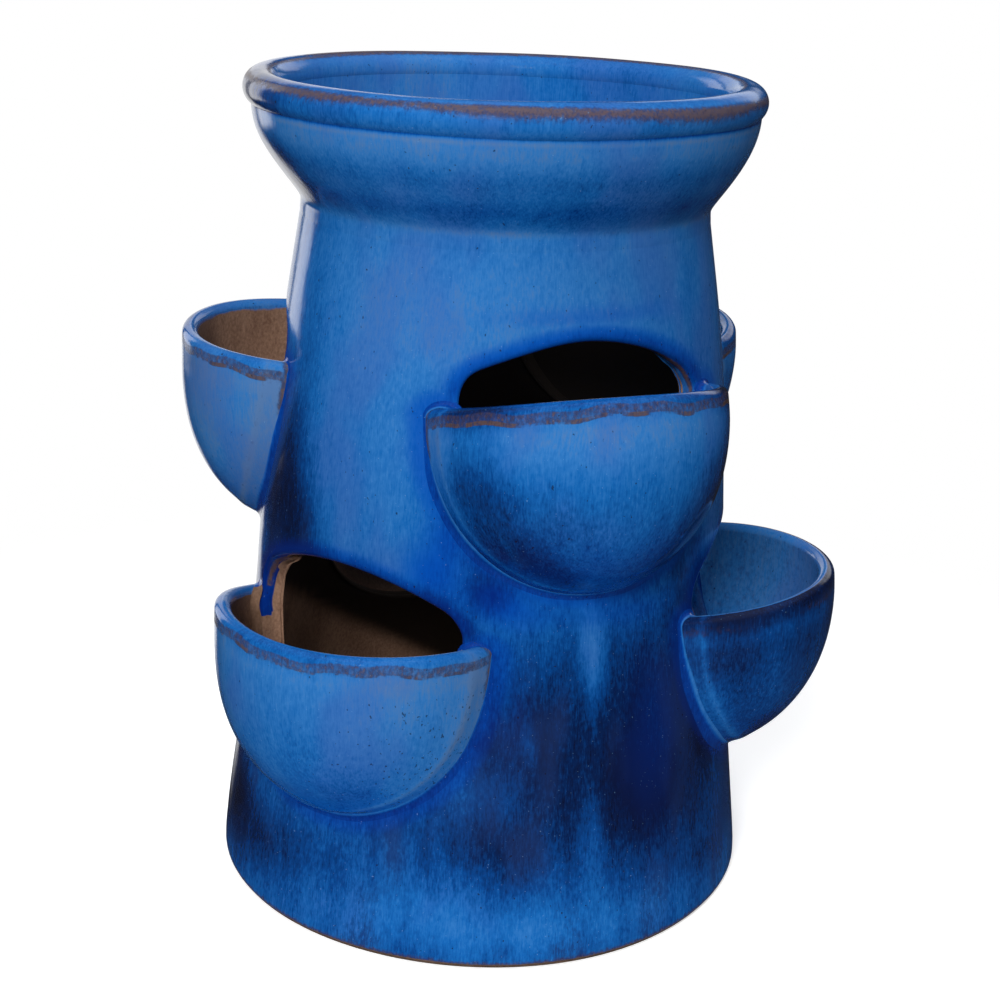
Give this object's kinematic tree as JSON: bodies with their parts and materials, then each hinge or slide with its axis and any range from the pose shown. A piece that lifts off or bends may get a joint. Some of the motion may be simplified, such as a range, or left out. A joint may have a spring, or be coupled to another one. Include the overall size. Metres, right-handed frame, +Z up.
{
  "type": "strawberry jar planter",
  "caption": "Tall tapered glazed ceramic planter jar with a flared collar, a rolled rim and staggered half-bowl planting pockets over arched openings in its wall.",
  "frame": {"origin": "centre of the base, on the ground", "axes": "+Z up along the jar's axis, -Y towards the side that the picture shows, +X to the right of it"},
  "size_m": [0.3766, 0.3491, 0.45],
  "materials": {
    "cobalt_glaze": "gloss glaze, streaked cobalt blue",
    "pooled_glaze": "gloss glaze, pooled ultramarine",
    "bare_clay": "matt fired clay"
  },
  "bodies": {
    "root": {"foot_ring": "bare_clay", "floor_slab": "bare_clay", "lower_wall": "cobalt_glaze", "upper_wall": "cobalt_glaze", "collar": "cobalt_glaze", "rim_bead": "cobalt_glaze", "pocket_upper_front": "cobalt_glaze", "pocket_upper_left": "cobalt_glaze", "pocket_upper_back": "cobalt_glaze", "pocket_lower_front": "cobalt_glaze", "pocket_lower_right": "cobalt_glaze", "pocket_lower_back": "cobalt_glaze", "coil_upper_front": "pooled_glaze", "coil_upper_left": "pooled_glaze", "coil_upper_back": "pooled_glaze", "coil_lower_front": "pooled_glaze", "coil_lower_right": "pooled_glaze", "coil_lower_back": "pooled_glaze"}
  },
  "joints": []
}
